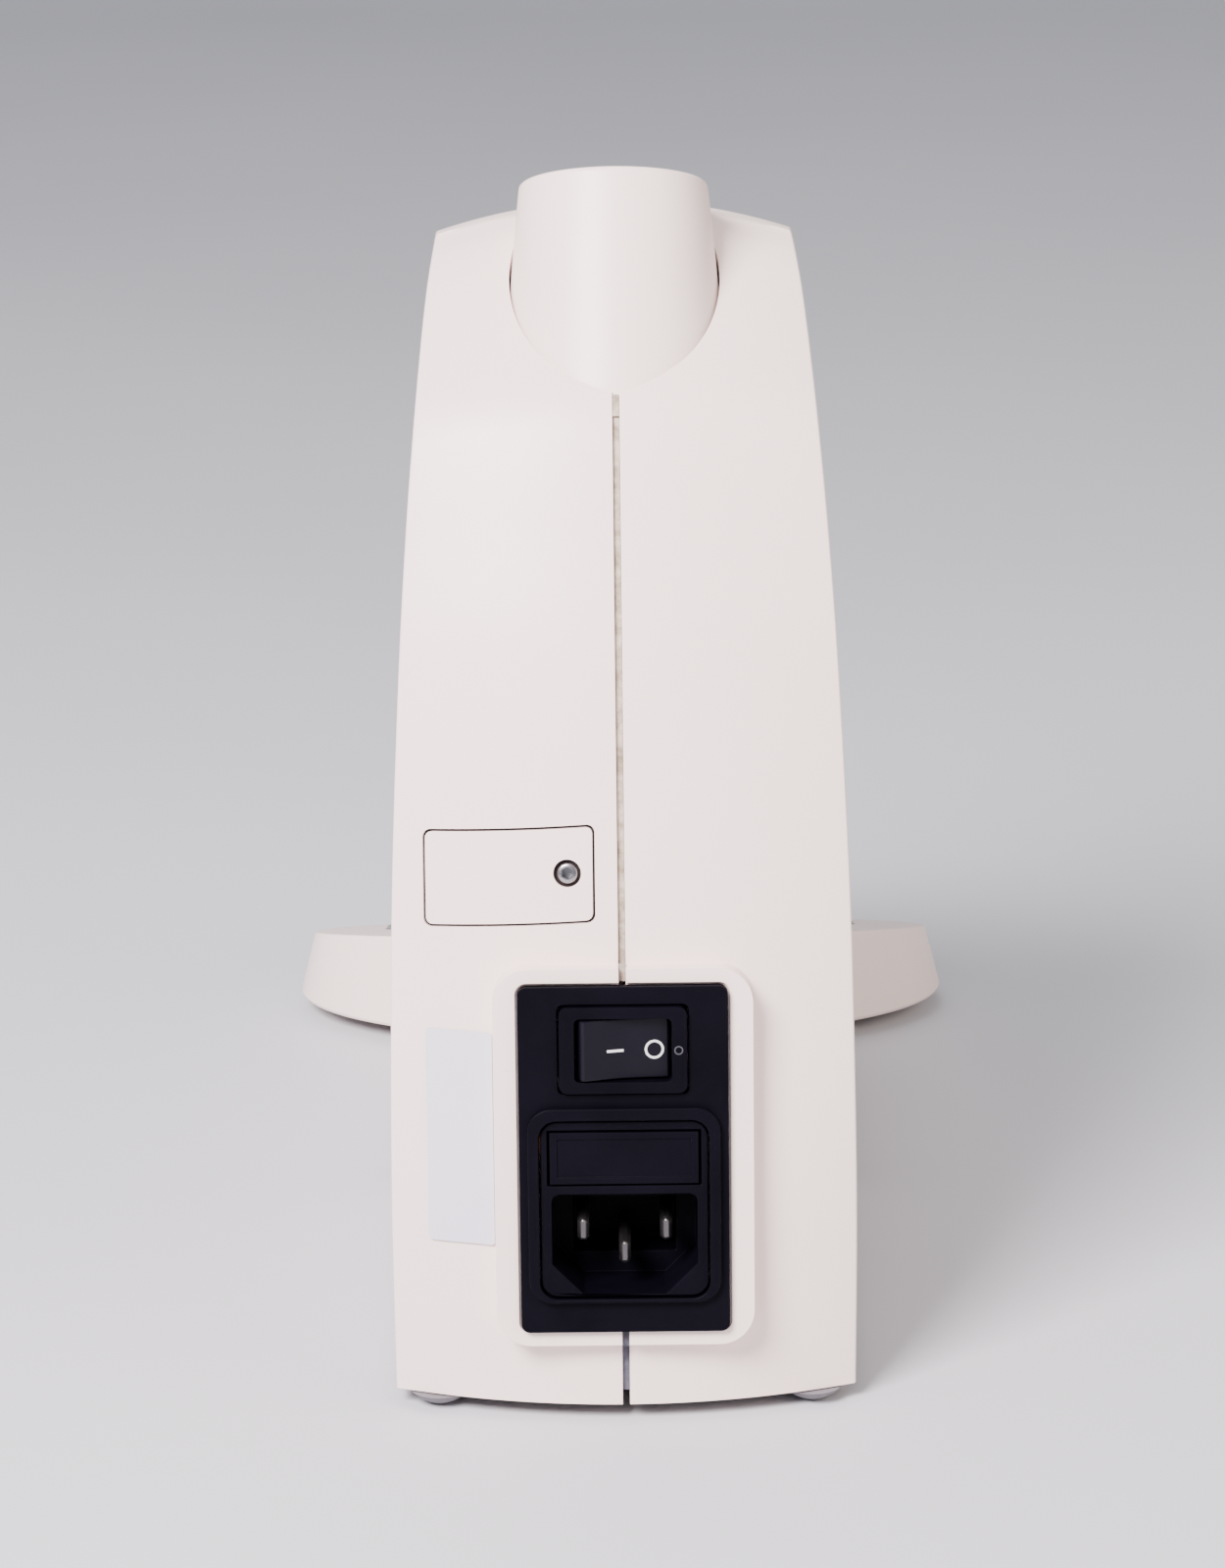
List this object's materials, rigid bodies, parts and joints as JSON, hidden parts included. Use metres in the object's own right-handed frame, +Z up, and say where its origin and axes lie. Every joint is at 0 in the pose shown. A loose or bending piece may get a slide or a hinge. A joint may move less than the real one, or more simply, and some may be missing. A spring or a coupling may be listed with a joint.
{
  "type": "bench microcentrifuge",
  "caption": "Small bench microcentrifuge with a narrow rear column, leaning control head, lidded tube rotor and wide sloped front foot.",
  "frame": {"origin": "centre of the footprint box, on the surface that the rubber feet rest on", "axes": "+Z up, +Y to the rear with the power inlet, +X to the side of the access hatch"},
  "size_m": [0.1348, 0.2669, 0.2065],
  "materials": {
    "shell": "fine satin moulded cream plastic",
    "black_plastic": "satin black engineering plastic",
    "rocker": "smooth black plastic",
    "dial": "soft black plastic",
    "dark_plastic": "dark plastic",
    "foot_rubber": "grey rubber",
    "seal": "black rubber",
    "steel": "zinc plated steel",
    "base_steel": "galvanised sheet",
    "motor_can": "dark plated metal",
    "contact": "nickel plated brass",
    "fuse_glass": "clear glass tube",
    "label": "blank white polyester label",
    "seam_strip": "grey-brown inner strip",
    "smoke_lid": "smoked clear plastic",
    "liner": "grey moulded liner",
    "rotor": "fine dark grey plastic",
    "circuit_board": "green solder mask",
    "display_glass": "dark display window",
    "green_button": "green plastic",
    "red_button": "red plastic",
    "grey_button": "grey plastic",
    "copper": "enamelled copper winding"
  },
  "bodies": {
    "base": {"left_housing": "shell", "right_housing": "shell", "hatch_cover": "shell", "hatch_screw": "steel", "tie_pillar_lower": "steel", "tie_pillar_upper": "steel", "housing_screw_lower": "steel", "housing_screw_upper": "steel", "seam_strip_upper": "seam_strip", "seam_strip_lower": "seam_strip", "inlet_flange": "black_plastic", "inlet_surround": "black_plastic", "inlet_socket": "black_plastic", "inlet_pin_line": "contact", "inlet_pin_neutral": "contact", "inlet_pin_earth": "contact", "switch_bezel": "black_plastic", "rating_label": "label", "control_head": "shell", "dial_encoder": "dark_plastic", "head_board": "circuit_board", "head_clamp": "steel", "base_plate": "base_steel", "rear_foot_left": "foot_rubber", "rear_foot_right": "foot_rubber", "front_foot_left": "foot_rubber", "front_foot_right": "foot_rubber", "chamber_housing": "shell", "hinge_pin": "steel", "chamber_bowl": "liner", "motor": "motor_can", "motor_plate": "base_steel", "motor_damper_1": "seal", "motor_damper_2": "seal", "motor_damper_3": "seal", "foot_housing": "shell", "display_window": "display_glass", "display_module": "dark_plastic", "key_board": "circuit_board", "control_board": "circuit_board", "transformer_core": "motor_can", "transformer_coil": "copper"},
    "lid": {"lid": "smoke_lid", "lid_seal": "seal"},
    "rotor": {"rotor": "rotor", "rotor_nut": "steel", "motor_shaft": "steel"},
    "speed_dial": {"speed_dial": "dial", "dial_shaft": "steel"},
    "power_rocker": {"power_rocker": "rocker"},
    "fuse_drawer": {"fuse_drawer": "black_plastic", "fuse_front": "fuse_glass", "fuse_rear": "fuse_glass"},
    "release_button": {"release_button": "rocker", "latch_hook": "steel"},
    "start_button": {"start_button": "green_button"},
    "stop_button": {"stop_button": "red_button"},
    "time_up_button": {"time_up_button": "grey_button"},
    "time_down_button": {"time_down_button": "grey_button"}
  },
  "joints": [
    {"name": "lid_hinge", "type": "hinge", "parent": "base", "child": "lid", "pos_m": [0, 0.00574, 0.067], "axis": [-1, 0, 0], "range_deg": [0, 70]},
    {"name": "rotor_spin", "type": "hinge", "parent": "base", "child": "rotor", "pos_m": [0, -0.03646, 0.04], "axis": [0, 0, 1], "continuous": true},
    {"name": "dial_turn", "type": "hinge", "parent": "base", "child": "speed_dial", "pos_m": [0, 0.07494, 0.1654], "axis": [0, -0.3681, 0.9298], "range_deg": [-135, 135]},
    {"name": "rocker_tilt", "type": "hinge", "parent": "base", "child": "power_rocker", "pos_m": [0, 0.12586, 0.06669], "axis": [0, 0.0872, -0.9962], "range_deg": [0, 22]},
    {"name": "fuse_drawer_slide", "type": "slide", "parent": "base", "child": "fuse_drawer", "axis": [0, 0.9962, 0.0872], "range_m": [0, 0.02]},
    {"name": "lid_release", "type": "slide", "parent": "base", "child": "release_button", "axis": [0, 1, 0], "range_m": [0, 0.0018], "stiffness_N_per_m": 500},
    {"name": "start_button_press", "type": "slide", "parent": "base", "child": "start_button", "axis": [0, 0.2588, -0.9659], "range_m": [0, 0.0008], "stiffness_N_per_m": 400},
    {"name": "stop_button_press", "type": "slide", "parent": "base", "child": "stop_button", "axis": [0, 0.2588, -0.9659], "range_m": [0, 0.0008], "stiffness_N_per_m": 400},
    {"name": "time_up_button_press", "type": "slide", "parent": "base", "child": "time_up_button", "axis": [0, 0.2588, -0.9659], "range_m": [0, 0.0008], "stiffness_N_per_m": 400},
    {"name": "time_down_button_press", "type": "slide", "parent": "base", "child": "time_down_button", "axis": [0, 0.2588, -0.9659], "range_m": [0, 0.0008], "stiffness_N_per_m": 400}
  ]
}
